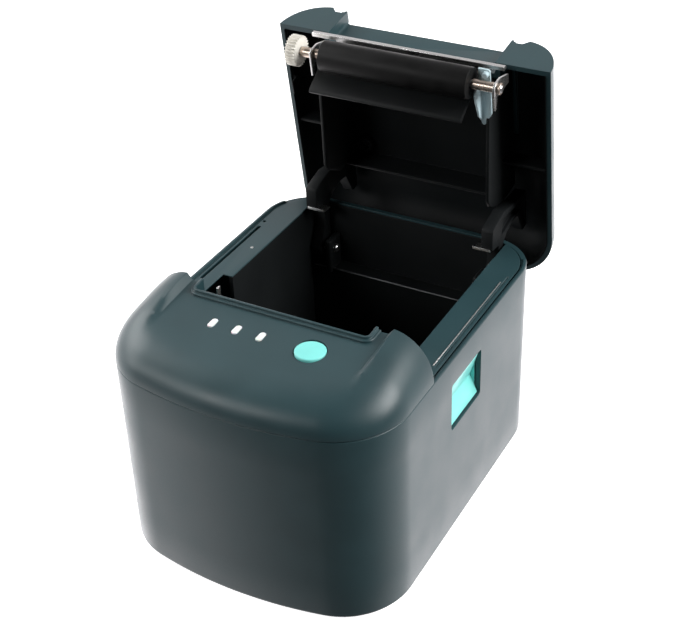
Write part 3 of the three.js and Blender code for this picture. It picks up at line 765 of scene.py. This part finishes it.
def raised_lip(name, end_y):
    """A thin bead that runs round the paper outlet, down both sides and across the front."""
    # Points of the right half as (x, y, outward direction), then the same mirrored
    path = [(LIP_HALF, end_y, 1, 0), (LIP_HALF, LIP_Y + LIP_R + 0.01, 1, 0)]
    for i in range(1, 9):
        a = math.radians(-90 * i / 9)
        path.append((LIP_HALF - LIP_R + LIP_R * math.cos(a), LIP_Y + LIP_R + LIP_R * math.sin(a),
                     math.cos(a), math.sin(a)))
    path.append((LIP_HALF - LIP_R, LIP_Y, 0, -1))
    path += [(x, LIP_Y, 0, -1) for x in (20, 0)]
    path += [(-x, y, -nx, ny) for x, y, nx, ny in reversed(path[:-1])]
    rings = []
    for x, y, nx, ny in path:
        rings.append([(x + nx * u, y + ny * u, z) for u, z in lip_section(cover_floor(y))])
    return tube(name, rings, closed=False)


def make_feed_button():
    """A cap with a rounded edge and a slightly domed top, over a wider flange."""
    r, crest = BUTTON_R, 0.25
    profile = [(0, BUTTON_BASE), (r, BUTTON_BASE), (r, BUTTON_EDGE)]
    profile += [(r - 0.8 + 0.8 * math.cos(a), BUTTON_EDGE + 0.55 * math.sin(a))
                for a in (math.radians(15 * i) for i in range(1, 7))]
    profile += [(r * f, BUTTON_TOP - crest * f * f) for f in (0.75, 0.5, 0.25)] + [(0, BUTTON_TOP)]
    cap = turned("feed_button_cap", "z", BUTTON_AT, profile, 96)
    flange = rod("feed_button_flange", "z", r + 1.4, (BUTTON_BASE - 1.2, BUTTON_BASE + 0.1), BUTTON_AT,
                 0.2, 64)
    finish_piece(merge(cap, [flange]), "feed_key", "feed_button")


def lens_outline(x, r):
    front = arc(x, LED_Y - LED_HALF, r, 180, 360, 24)
    return front + arc(x, LED_Y + LED_HALF, r, 0, 180, 24)


def make_led_lenses():
    for i, x in enumerate(LED_X, 1):
        window = plate(f"led_lens_cap_{i}", "z", lens_outline(x, LED_R), (LED_BASE, LED_TOP), 0.35, steps=4)
        finish_piece(window, "housing", f"led_lens_{i}")


def make_base():
    """The base plate, with seats for its feet and screws and a row of shallow vents."""
    floor = plate("base_pan", "z", whole_plan(WALL + 0.3)[::2], (0.1, 2.6), 0.4)
    tools = []
    for i in range(1, 5):
        foot, screw = node_centre(f"rubber_foot_{i}"), node_centre(f"base_screw_{i}")
        tools.append(rod("foot_seat", "z", 7.3, (-1, 1.5), foot, 0.01, 48))
        tools.append(rod("screw_seat", "z", 3.6, (-1, 1.6), screw, 0.01, 32))
    for x in (-30, -18, -6, 6, 18, 30):
        tools.append(block("vent", (x - 1.2, x + 1.2), (-40, 30), (-1, 0.9), 0.3))
    carve(floor, tools)
    finish_piece(floor, "housing", "base_plate")
    for i in range(1, 5):
        make_foot(i)
        make_base_screw(i)


def make_foot(i):
    lo, hi = node_box(f"rubber_foot_{i}")
    r = (hi.x - lo.x) / 2
    profile = [(0, -FOOT), (r - 1.0, -FOOT), (r - 0.3, -FOOT + 0.3), (r, -FOOT + 0.9), (r, FOOT_TOP),
               (0, FOOT_TOP)]
    pad = turned(f"foot_pad_{i}", "z", node_centre(f"rubber_foot_{i}"), profile, 48)
    finish_piece(pad, "housing", f"rubber_foot_{i}")


def cross_slot(at, z, half_length, half_width, place=to_world):
    """The two cuts of a cross-head screw's slot."""
    x, y = at[0], at[1]
    return [
        block("slot", (x - half_length, x + half_length), (y - half_width, y + half_width), z, 0, place),
        block("slot", (x - half_width, x + half_width), (y - half_length, y + half_length), z, 0, place),
    ]


def make_base_screw(i):
    at = node_centre(f"base_screw_{i}")
    head = rod(f"screw_head_{i}", "z", 3, (0.2, 1.3), at, 0.3, 40)
    finish_piece(carve(head, cross_slot(at, (-0.5, 0.8), 1.6, 0.35)), "housing", f"base_screw_{i}")


def make_sockets():
    for node in REAR_SOCKETS:
        lo, hi = node_box(node)
        body = block(f"{node}_body", (lo.x, hi.x), (lo.y, hi.y), (lo.z, hi.z), 0.4)
        carve(body, [socket_mouth(lo, hi, 84.4, 0.3)])
        merge(body, socket_contacts(node, lo, hi))
        finish_piece(body, "housing", node)


def socket_mouth(lo, hi, depth_y, radius):
    return block("mouth", (lo.x + MOUTH_EDGE, hi.x - MOUTH_EDGE), (depth_y, 95),
                 (lo.z + MOUTH_EDGE, hi.z - MOUTH_EDGE), radius)


def socket_contacts(node, lo, hi):
    """What shows inside a socket: pins, a tongue or a row of contacts."""
    if node == "power_socket":
        x, z = (lo.x + hi.x) / 2, (lo.z + hi.z) / 2
        return [rod("pin", "y", 0.9, (84, 89.5), (x + dx, z + dz), 0.3, 24)
                for dx, dz in ((-2.4, -1.2), (2.4, -1.2), (0, 2.2))]
    if node == "usb_socket":
        return [block("tongue", (lo.x + 3.4, hi.x - 3.4), (84, 89.6), (lo.z + 4.6, hi.z - 3.2), 0.2)]
    return [block("contacts", (lo.x + 2.6, hi.x - 2.6), (84, 87.5), (hi.z - 4.6, hi.z - 3.4), 0.15)]


def make_power_switch():
    lo, hi = node_box("switch_frame")
    bezel = block("switch_bezel", (lo.x, hi.x), (lo.y, hi.y), (lo.z, hi.z), 0.5)
    finish_piece(carve(bezel, [socket_mouth(lo, hi, 83.4, 0.2)]), "housing", "switch_frame")
    lo, hi = node_box("power_switch")
    pivot_y, pivot_z = 86.5, (lo.z + hi.z) / 2
    side = [(-1.8, -6.6), (2.4, -6.6), (2.6, -3), (3.1, 0), (3.6, 3.4), (4.2, 6.6), (0, 6.6), (-2.6, 0)]
    outline = [(pivot_y + y, pivot_z + z) for y, z in side]
    finish_piece(plate("switch_rocker", "x", outline, (lo.x, hi.x), 0.3), "rocker", "power_switch")


# ---- Paper well ----
def make_paper_well():
    """The tub, with walls that carry the ledges and lugs for the hinge pins."""
    top = LEDGE_TOP - 0.6
    well = block("well_floor", (-WELL_OUT, WELL_OUT), (-14, 81), (8, 10), 0.3)
    parts = [
        block("well_front", (-WELL_OUT, WELL_OUT), (-14, -12), (8, 70), 0.5),
        block("well_rear", (-WELL_OUT, WELL_OUT), (79, 81), (8, 64), 0.5),
        block("well_shelf", (-WELL_OUT, WELL_OUT), (79, WELL_END), (62, 64), 0.4),
        block("well_back", (-WELL_OUT, WELL_OUT), (88.05, 88.65), (62, 97.2), 0.2),
    ]
    for _, side in SIDES:
        parts += [
            block("wall", span(side, WELL_IN, WELL_OUT), (-14, WELL_END), (8, top), 0.2),
            block("skirt", span(side, WELL_IN, WELL_OUT), (COVER_END + 1, -13), (86, top), 0.2),
            block("lug", span(side, 39.6, 43.4), (77, WELL_END), (62, 81), 1.2),
        ]
    for x in (-30, -10, 10, 30):
        parts.append(block("rib", (x - 0.8, x + 0.8), (-12.6, -11.4), (9, 69), 0.4))
    merge(well, parts)
    carve(well, [
        block("gear_notch", *GEAR_NOTCH, (80, 100), 0.4),
        block("bush_notch", *BUSH_NOTCH, (80, 100), 0.4),
        rod("pin_hole", "x", 2.5, (-60, 60), (HINGE_Y, HINGE_Z), 0.01, 32),
    ])
    trim_to_plan(well, WALL + 0.3)
    finish_piece(well, "housing", "paper_well")
    tab = block("latch_tab", (-53.8, -52.6), (-7.4, -5.2), (84, 98.4), 0.3)
    finish_detail(tab, "housing", "bright_steel")
    edge = rod("shelf_edge", "x", 0.45, (-52.1, 52.1), (79, 64.2), 0.2, 24)
    finish_detail(edge, "housing", "dark_steel")


def trim_to_plan(piece, inset):
    """Keeps only what lies inside the housing's plan."""
    carve(piece, [plate("rear_round", "z", whole_plan(inset)[::2], (0, 120), 0)], "INTERSECT")


def make_ledges():
    """The case-coloured ledges that finish the well's edge on both sides."""
    for name, side in SIDES:
        ledge = block(f"well_ledge_{name}", span(side, 52.3, 67), (COVER_END + 1, WELL_END),
                      (LEDGE_TOP - 0.55, LEDGE_TOP), 0.2)
        if side < 0:
            tools = [
                block("notch", *GEAR_NOTCH, (90, 100), 0.5),
                block("slot", (-65.9, -64.1), (-3, 51), (90, 100), 0.6),
                rod("hole", "z", 0.9, (90, 100), (-65.4, 56), 0.01, 24),
            ]
        else:
            tools = [
                block("notch", *BUSH_NOTCH, (90, 100), 0.4),
                block("groove", (64.7, 65.5), (-20, 60), (LEDGE_TOP - 0.4, 100), 0.2),
            ]
        tools.append(block("hinge_notch", span(side, 40, 52.6), (72, 95), (90, 100), 0.3))
        carve(ledge, tools)
        trim_to_plan(ledge, WALL + 0.5)
        finish_detail(ledge, "housing", "case_plastic")
    strip = block("ledge_strip", (63.5, 64.1), (-19, 54.4), (LEDGE_TOP - 0.3, LEDGE_TOP + 0.4), 0.28)
    finish_detail(strip, "housing", "bright_steel")
    pin = rod("ledge_pin", "z", 0.75, (LEDGE_TOP - 0.5, LEDGE_TOP + 0.3), (-57.6, 31.3), 0.2, 24)
    finish_detail(pin, "housing", "bright_steel")


# ---- Gears ----
def gear(name, teeth, x, at, phase=0.0, hub=0.0, bore=0.0, place=to_world):
    """A spur gear; with a hub, both faces are dished between the hub and the rim."""
    root, tip = MODULE * (teeth / 2 - 1.2), MODULE * (teeth / 2 + 0.85)
    # One side of a tooth as (radius, half thickness of the tooth there)
    flank = [(root, 0.46), (root + 0.18, 0.38), (root + 0.55, 0.31), (tip - 0.12, 0.19), (tip, 0.13)]
    tooth = [(r, -half) for r, half in flank] + flank[::-1]
    outline = []
    for i in range(teeth):
        turn = phase + i * 2 * math.pi / teeth
        for r, offset in tooth:
            angle = turn + offset / r
            outline.append((at[0] + r * math.cos(angle), at[1] + r * math.sin(angle)))
    wheel = plate(name, "x", outline, x, 0.08, place, smooth=40)
    tools = []
    if bore:
        tools.append(rod("bore", "x", bore, (x[0] - 1, x[1] + 1), at, 0.01, 40, place=place))
    if hub:
        for a, b in ((x[0] - 1, x[0] + 1.6), (x[1] - 1.2, x[1] + 1)):
            ring = [(hub, a), (root - 1.2, a), (root - 1.2, b), (hub, b)]
            tools.append(turned("dish", "x", at, ring, 64, place))
    return carve(wheel, tools, smooth=40) if tools else wheel


def make_gears():
    """The idler, and the motor's pinion turned by half a tooth so that the two mesh."""
    lo, hi = node_box("idler_gear")
    centre = node_centre("idler_gear")
    phase = math.radians(216.9)
    idler = gear("idler_wheel", IDLER_TEETH, (lo.x, hi.x), (centre.y, centre.z), phase, 4.2, 2.3)
    finish_piece(idler, "idler", "idler_gear")
    joint = next(j for j in frame["joints"] if j["name"] == "pinion_spin")
    at = (joint["pos_m"][1] / MM, joint["pos_m"][2] / MM - FOOT)
    pinion = gear("pinion_wheel", PINION_TEETH, (lo.x, hi.x), at, phase - math.pi + math.pi / PINION_TEETH)
    merge(pinion, [rod("pinion_shaft", "x", 1.5, (-51, -41), at, 0.2, 32)])
    finish_piece(pinion, "pinion", "motor_pinion")


# ---- Release button ----
def make_release_button():
    """A pad behind the window, with a step that fills the opening and a shallow V-shaped scoop."""
    body = block("release_pad", (61, 67), (-15, 21), (57.8, 87.2), 0.8)
    y = (WINDOW_Y[0] + 0.5, WINDOW_Y[1] - 0.5)
    z = (WINDOW_Z[0] + 0.5, WINDOW_Z[1] - 0.5)
    merge(body, [block("step", (66, 68.7), y, z, 0.5)])
    hollow = [(69, 60.4), (65.0, 69.1), (64.8, 69.7), (65.0, 70.3), (69, 83.4), (75, 72)]
    scoop = plate("scoop", "y", hollow, (y[0] - 0.1, y[1] + 0.1), 0)
    finish_piece(carve(body, [scoop]), "release", "release_button")


# ---- Lid ----
def lid_floor(y):
    """Height of the lid's recess, which runs out into the dome towards the rear."""
    return 118.0 + 0.058 * (y - LID_FRONT) + 6 * smoothstep(y, 2, 42)


def lid_top(x, y, rise):
    """The lid's top: a dome with a shallow recess that has soft sides."""
    z = shoulder(rise, DOME_UP, 0)
    return soft_min(z, lid_floor(y) + recess_wall(x), RECESS_BLEND)


def rear_short(inset, end_y):
    """The lid's plan: the rear half, with its flanks cut finely and its rear wall in one step."""
    return rear_half(inset, end_y, flank=26, back=1)


def lid_hollow(name, inset, skirt_z):
    """A smaller dome inside the lid's, to cut out what lies behind a wall of that thickness."""
    return dome(name, rear_short, LID_FRONT + inset, inset,
                lambda x, y, rise: shoulder(rise, DOME_UP, inset), skirt_z, place=lid_to_world)


def make_lid_shell():
    skin = dome("lid_skin", rear_short, LID_FRONT, 0, lid_top, RIM_Z - 0.01, columns=96,
                place=lid_to_world)
    hollow = lid_hollow("lid_hollow", WALL, RIM_Z - 4)
    mid = LIP_HALF + WALL
    roof = plate("roof", "x", [(-40, 115.3), (40, 119.5), (40, 130), (-40, 130)], (-mid, mid), 0,
                 lid_to_world)
    front = block("front", (-mid, mid), (LID_FRONT - 1, LID_SET_BACK + WALL), (90, 130), 0, lid_to_world)
    carve(hollow, [roof, front])
    gap = [(-LIP_HALF, LID_FRONT - 1), (LIP_HALF, LID_FRONT - 1), (LIP_HALF, LID_SET_BACK - 1.2),
           (LIP_HALF - 0.4, LID_SET_BACK - 0.4), (LIP_HALF - 1.2, LID_SET_BACK),
           (-LIP_HALF + 1.2, LID_SET_BACK), (-LIP_HALF + 0.4, LID_SET_BACK - 0.4),
           (-LIP_HALF, LID_SET_BACK - 1.2)]
    notch = plate("notch", "z", gap, (90, 130), 0, lid_to_world)
    slab = block("slab", (-80, 80), (-100, 100), (60, LID_RIM), 0, lid_to_world)
    merge(skin, [lid_bead(side) for _, side in SIDES])
    carve(skin, [hollow, notch, slab])
    finish_piece(skin, "lid", "lid_shell")


def make_lid_shade_sheet():
    """A black sheet inside the lid's shell, behind the frame: painted shade that darkens the lid's inside and
    hides its highlights.
    """
    # Painted shade: a near-black sheet laid just inside the lid's shell.
    shade_sheet = lid_hollow("lid_shade_sheet", WALL + 0.06, RIM_Z + 2.2)
    half = 46
    carve(shade_sheet, [
        lid_hollow("shade_sheet_hollow", WALL + 0.5, RIM_Z - 4),
        plate("channel", "x", [(-40, 115.2), (40, 119.3), (40, 130), (-40, 130)], (-half, half), 0,
              lid_to_world),
        block("front", (-half, half), (LID_FRONT - 1, LID_SET_BACK + WALL + 0.1), (90, 130), 0,
              lid_to_world),
    ])
    finish_detail(shade_sheet, "lid", "inner_plastic")


def lid_bead(side):
    """The cover's lip carried on along an ear's inner edge, until it sinks into the lid."""
    length, rings = 9.0, []
    for i in range(9):
        y = LID_FRONT + length * i / 8
        drop = 2.4 * smoothstep(y, LID_SET_BACK - 1, LID_FRONT + length)
        section = lip_section(lid_floor(y), height=1.9)
        rings.append([(side * (LIP_HALF + u), y, z - drop) for u, z in section])
    return tube("lid_bead", rings, lid_to_world, closed=False)


def make_lid_frame():
    """The black frame under the lid's roof: panel, ribs, screw bosses and a small hook on the left."""
    p = lid_to_world
    x, y = LID_SCREW
    panel = block("lid_panel", (-43.5, 43.5), (-21.4, 48), (113.4, 115), 0.3, p)
    parts = [
        block("rear_rib", (-43.5, 43.5), (46.5, 48), (101, 114), 0.4, p),
        block("front_rib", (-43.5, 43.5), (-21.4, -20), (97.4, 114), 0.4, p),
    ]
    for _, side in SIDES:
        parts.append(plate("long_rib", "x", [
            (-21.4, 92), (-20.4, 90), (-15, 88), (36, 82.5), (40, 84), (48, 95), (48, 115), (-21.4, 115)],
            span(side, 43.2, 44.9), 0.35, p))
        parts.append(plate("cross_rib", "y", [
            (side * 44.5, 100.6), (side * 66.8, 100.6), (side * 66.4, 103.5), (side * 64.4, 108.8),
            (side * 44.5, 108.8)][::side], (24.3, 25.8), 0.3, p))
        parts.append(rod("boss", "z", 4.2, (109.5, 114), (x * side, y), 0.4, 40, place=p))
    parts += [block("lug", (-67.3, -64.6), (-1, 6), (100, 101.6), 0.2, p),
              block("hook", (-65.4, -64.6), (-1, 6), (95.5, 101.4), 0.2, p)]
    merge(panel, parts)
    tools = []
    for r, z in ((2.7, (108, 111.9)), (2.6, (111, 113.3))):
        tools += [rod("screw_seat", "z", r, z, (x * side, y), 0.01, 32, place=p) for _, side in SIDES]
    carve(panel, tools)
    finish_piece(panel, "lid", "lid_frame")
    for name, side in SIDES:
        head = rod(f"lid_screw_head_{name}", "z", 2.5, (111.9, 113.1), (x * side, y), 0.3, 32, place=p)
        carve(head, cross_slot((x * side, y), (111.4, 112.4), 1.4, 0.3, p))
        finish_piece(head, "lid", f"lid_screw_{name}")


def round_hinge(points):
    """Points given from the hinge axis, in the script's own layout."""
    return [(HINGE_Y + y, HINGE_Z + z) for y, z in points]


def make_hinges():
    """Goose necks, drawn with the lid open in the (y, z) plane."""
    outline = arc(0, 0, 5.5, 170, 370, 22)
    outline += [(5, 12), (5, 22.6), (9.5, 27), (17.7, 29.3), (23.3, 29), (30.7, 17), (36.1, 17.8),
                (32.9, 38.3), (20.6, 38.6), (5, 40.5), (-6, 37.5), (-7.8, 36.4), (-8.4, 35.4), (-8.4, 26),
                (-8.0, 25.6), (-1.2, 24.8), (-0.5, 24.2), (-0.5, 11)]
    pocket = [(2.4, 28.5), (16, 31.8), (25, 31.4), (31, 20.6), (33.4, 21), (31, 35.8), (20, 36.2), (4, 37.6)]
    for name, side in SIDES:
        arm = plate(f"goose_neck_{name}", "x", round_hinge(outline), span(side, *NECK_X), 0.5)
        carve(arm, [
            rod("bore", "x", 2.6, (-60, 60), (HINGE_Y, HINGE_Z), 0.01, 40),
            plate("pocket", "x", round_hinge(pocket), span(side, 49.6, 53), 0),
        ])
        finish_piece(arm, "lid", f"hinge_arm_{name}")
        strip = plate(f"hinge_plate_{name}", "x", [
            (73.2, 100.3), (74.4, 99.7), (81, 99.0), (81, 99.5), (74.6, 100.4), (74.0, 101.4),
            (73.4, 101.4)], span(side, 41, 50), 0.1)
        finish_detail(strip, "lid", "bright_steel")
        pin = rod(f"hinge_pin_rod_{name}", "x", 2.2, span(side, 38.2, 56), (HINGE_Y, HINGE_Z), 0.5, 40)
        finish_piece(pin, "housing", f"hinge_pin_{name}")


# ---- Platen unit ----
def make_platen():
    """The rubber roller on its shaft, with the gear on the left end and a clip groove on the right."""
    r, (a, b) = ROLLER_R, ROLLER_X
    sleeve = turned("roller_sleeve", "x", PLATEN_AT, [
        (PLATEN_BORE, a), (r - 0.7, a), (r - 0.2, a + 0.25), (r, a + 0.9), (r, b - 0.9),
        (r - 0.2, b - 0.25), (r - 0.7, b), (PLATEN_BORE, b)], 128, lid_to_world)
    finish_piece(sleeve, "platen", "platen_roller")
    r, (a, b) = SHAFT_R, SHAFT_X
    groove = [(r, 51), (r - 0.4, 51.2), (r - 0.4, 51.8), (r, 52)]
    shaft = turned("roller_shaft", "x", PLATEN_AT, [
        (0, a), (r - 0.4, a), (r, a + 0.4), *groove, (r, b - 0.4), (r - 0.4, b), (0, b)], 64, lid_to_world)
    finish_piece(shaft, "platen", "platen_shaft")
    wheel = gear("roller_gear", PLATEN_TEETH, PLATEN_GEAR_X, PLATEN_AT, bore=PLATEN_BORE,
                 place=lid_to_world)
    finish_piece(wheel, "platen", "platen_gear")


def make_bushes():
    """Bronze bushes round the shaft, each with a collar at one end."""
    r = BUSH_R
    for name, (a, b), collar in (
            ("left", (-48.6, -37.4), (-38.6, -37.4)),
            ("right", (39.4, 53.4), (52.2, 53.4))):
        ring = [(PLATEN_BORE, a), (r - 0.3, a), (r, a + 0.3), (r, b - 0.3), (r - 0.3, b), (PLATEN_BORE, b)]
        bush = turned(f"bush_ring_{name}", "x", PLATEN_AT, ring, 64, lid_to_world)
        merge(bush, [rod("collar", "x", r + 0.35, collar, PLATEN_AT, 0.2, 64, PLATEN_BORE, lid_to_world)])
        finish_piece(bush, "lid", f"bush_{name}")


def make_platen_plates():
    outline = [(-19.4, 78.6), (-19.4, 80.4), (-24.9, 82), (-24.9, 94.8), (-29.4, 94.8), (-32.6, 86),
               (-32.6, 80.8), (-31, 78.6)]
    for name, x in (("left", (-42.2, -41.2)), ("right", (50.8, 51.8))):
        bracket = plate(f"bracket_{name}", "x", outline, x, 0.15, lid_to_world)
        hole = rod("hole", "x", BUSH_R + 0.15, (x[0] - 1, x[1] + 1), PLATEN_AT, 0.01, 48, 0, lid_to_world)
        finish_piece(carve(bracket, [hole]), "lid", f"platen_plate_{name}")


def make_lever():
    """The pale lever: a long blade with a flange down its inner edge and a small knob."""
    a, b = LEVER_X
    blade = plate("lever_blade", "z", [
        (a, -34.4), (b - 0.8, -34.4), (b, -33.6), (b, -11), (45.5, -9.9), (42.8, -4.8), (42, -4.3),
        (41, -5.2), (a, -9)], (87.3, 88.5), 0.25, lid_to_world)
    flange = plate("flange", "x", [(-25.6, 81.8), (-23.6, 80.8), (-10, 84.8), (-5.6, 88.5), (-25.6, 88.5)],
                   (a, a + 1), 0.2, lid_to_world)
    knob = rod("knob", "z", 1.5, (84.9, 87.6), (44.4, -32.4), 0.3, 32, place=lid_to_world)
    finish_piece(merge(blade, [flange, knob]), "lid", "platen_lever")


def make_paper_guide():
    """A bent blade along the roller, with a rolled free edge."""
    guide = plate("guide_rail", "x", [
        (-20.6, 94.8), (-20.6, 88), (-14.6, 75.6), (-14, 74.8), (-12.9, 74.3), (-12.2, 74.7),
        (-12, 75.4), (-18.9, 88.6), (-18.9, 94.8)], GUIDE_X, 0.25, lid_to_world)
    finish_piece(guide, "lid", "paper_guide")


def make_tear_bar():
    """A strip with a chamfered front edge, narrower at both ends."""
    outline = [(-31.8, 95.2), (-22, 95.2), (-22, 98), (-30.8, 98), (-31.8, 97.2)]
    bar = plate("tear_strip", "x", outline, (-TEAR_BAR_HALF, TEAR_BAR_HALF), 0.12, lid_to_world)
    ends = ((-TEAR_BAR_HALF - 0.5, -36.5), (38.6, TEAR_BAR_HALF + 0.5))
    carve(bar, [block("relief", x, (-29.9, -20), (94, 99), 0.2, lid_to_world) for x in ends])
    finish_piece(bar, "lid", "tear_bar")


# ---- What stays as the CAD drew it ----
def finish_cad_nodes():
    """Pieces that the covers hide keep the CAD's shape, with deburred edges and real finishes."""
    for name, node in frame["nodes"].items():
        node.data.materials.clear()
        node.data.materials.append(MATERIALS[SLOT_OF[name]])
        soften = node.modifiers.new("deburr", "BEVEL")
        soften.width = 0.15 * MM
        soften.segments = 2
        soften.limit_method = "ANGLE"
        soften.angle_limit = math.radians(40)


aim_camera()
light_studio()
lay_floor()
make_lower_housing()
make_front_cover()
make_feed_button()
make_led_lenses()
make_base()
make_sockets()
make_power_switch()
make_paper_well()
make_ledges()
make_gears()
make_release_button()
make_lid_shell()
make_lid_shade_sheet()
make_lid_frame()
make_hinges()
make_platen()
make_bushes()
make_platen_plates()
make_lever()
make_paper_guide()
make_tear_bar()
finish_cad_nodes()
